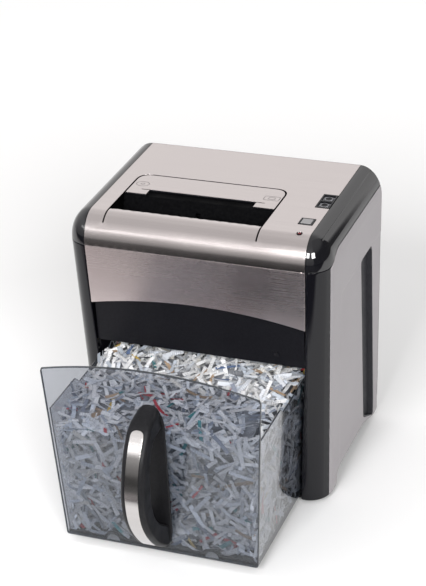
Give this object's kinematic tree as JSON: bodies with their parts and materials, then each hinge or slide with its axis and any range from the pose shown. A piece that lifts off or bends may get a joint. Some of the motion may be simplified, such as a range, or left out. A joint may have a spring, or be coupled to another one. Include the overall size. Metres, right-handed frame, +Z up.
{
  "type": "paper shredder",
  "caption": "Deskside cross-cut paper shredder, steel top and front, black corners, pull-out clear smoke bin standing open with a bowed handle.",
  "frame": {"origin": "on the floor, under the middle of the whole object with its bin pulled out", "axes": "+X to the right seen from the bin side, +Y from the bin front to the back, +Z up"},
  "size_m": [0.3796, 0.5128, 0.4129],
  "materials": {
    "steel_brushed": "brushed stainless sheet, fine grain across the width",
    "gloss_black": "high-gloss black moulding",
    "charcoal": "semi-gloss charcoal moulding",
    "black": "satin black moulding",
    "silver_plastic": "satin silver-grey painted moulding",
    "smoke": "clear smoke-grey polystyrene, polished",
    "rubber": "soft black rubber",
    "zinc": "zinc-plated pressed steel",
    "cutter_steel": "hardened, oiled cutter steel",
    "bronze": "sintered bronze",
    "nylon": "natural nylon",
    "board": "green circuit board with soldered components",
    "lens_red": "translucent red lens",
    "satin_silver": "satin silver button cap"
  },
  "bodies": {
    "cabinet": {"top_panel": "steel_brushed", "left_trim_cap": "gloss_black", "right_trim_cap": "gloss_black", "front_panel": "steel_brushed", "front_fascia": "black", "left_pillar": "charcoal", "right_pillar": "charcoal", "left_side_panel": "silver_plastic", "right_side_panel": "silver_plastic", "left_side_recess": "black", "right_side_recess": "black", "rear_cover": "charcoal", "cord_gland": "rubber", "slot_plate": "steel_brushed", "throat_guide": "black", "control_bezel": "black", "button_frame": "black", "led_lens": "lens_red", "control_board": "board", "base_plate": "black", "front_left_foot": "rubber", "front_right_foot": "rubber", "rear_left_foot": "rubber", "rear_right_foot": "rubber", "left_guide_rail": "nylon", "right_guide_rail": "nylon", "left_bay_wall": "black", "right_bay_wall": "black", "chassis_plate": "black", "left_frame": "zinc", "right_frame": "zinc", "front_left_bush": "bronze", "rear_left_bush": "bronze", "front_right_bush": "bronze", "rear_right_bush": "bronze", "front_stripper": "zinc", "rear_stripper": "zinc", "gear_plate": "zinc", "motor_body": "zinc", "power_board": "board", "interlock_switch": "black"},
    "bin": {"bin_tub": "smoke", "bin_front": "smoke", "handle_base": "black", "handle_grip": "charcoal", "handle_inlay": "steel_brushed"},
    "front_cutter_shaft": {"front_cutter": "cutter_steel", "front_sync_gear": "nylon"},
    "rear_cutter_shaft": {"rear_cutter": "cutter_steel", "rear_sync_gear": "nylon", "drive_gear": "nylon"},
    "second_idler_wheel": {"second_idler": "nylon"},
    "first_idler_wheel": {"first_idler": "nylon"},
    "rotor": {"motor_rotor": "cutter_steel"},
    "forward_key": {"forward_button": "black"},
    "reverse_key": {"reverse_button": "black"},
    "power_key": {"power_button": "satin_silver"},
    "feeler": {"paper_lever": "black"},
    "interlock": {"interlock_plunger": "black"}
  },
  "joints": [
    {"name": "bin_slide", "type": "slide", "parent": "cabinet", "child": "bin", "axis": [0, -1, 0], "range_m": [-0.1745, 0.07]},
    {"name": "rear_cutter_spin", "type": "hinge", "parent": "cabinet", "child": "rear_cutter_shaft", "pos_m": [0, 0.08137, 0.32], "axis": [1, 0, 0], "continuous": true},
    {"name": "front_cutter_spin", "type": "hinge", "parent": "cabinet", "child": "front_cutter_shaft", "pos_m": [0, 0.04337, 0.32], "axis": [1, 0, 0], "continuous": true},
    {"name": "second_idler_spin", "type": "hinge", "parent": "cabinet", "child": "second_idler_wheel", "pos_m": [0, 0.13159, 0.30654], "axis": [1, 0, 0], "continuous": true},
    {"name": "first_idler_spin", "type": "hinge", "parent": "cabinet", "child": "first_idler_wheel", "pos_m": [0, 0.16824, 0.31988], "axis": [1, 0, 0], "continuous": true},
    {"name": "motor_spin", "type": "hinge", "parent": "cabinet", "child": "rotor", "pos_m": [0, 0.18969, 0.30188], "axis": [1, 0, 0], "continuous": true},
    {"name": "forward_press", "type": "slide", "parent": "cabinet", "child": "forward_key", "axis": [0, 0, -1], "range_m": [0, 0.0015], "stiffness_N_per_m": 400},
    {"name": "reverse_press", "type": "slide", "parent": "cabinet", "child": "reverse_key", "axis": [0, 0, -1], "range_m": [0, 0.0015], "stiffness_N_per_m": 400},
    {"name": "power_press", "type": "slide", "parent": "cabinet", "child": "power_key", "axis": [0, 0, -1], "range_m": [0, 0.0015], "stiffness_N_per_m": 400},
    {"name": "paper_feeler_swing", "type": "hinge", "parent": "cabinet", "child": "feeler", "pos_m": [0, 0.09437, 0.385], "axis": [1, 0, 0], "range_deg": [0, 20], "stiffness_Nm_per_rad": 0.02},
    {"name": "interlock_press", "type": "slide", "parent": "cabinet", "child": "interlock", "axis": [0, 1, 0], "range_m": [0, 0.003], "stiffness_N_per_m": 200}
  ],
  "couplings": [
    {"joint": "front_cutter_spin", "follows": "rear_cutter_spin", "ratio": -1},
    {"joint": "second_idler_spin", "follows": "rear_cutter_spin", "ratio": -3.3333},
    {"joint": "first_idler_spin", "follows": "rear_cutter_spin", "ratio": 11.111},
    {"joint": "motor_spin", "follows": "rear_cutter_spin", "ratio": -40.741}
  ]
}
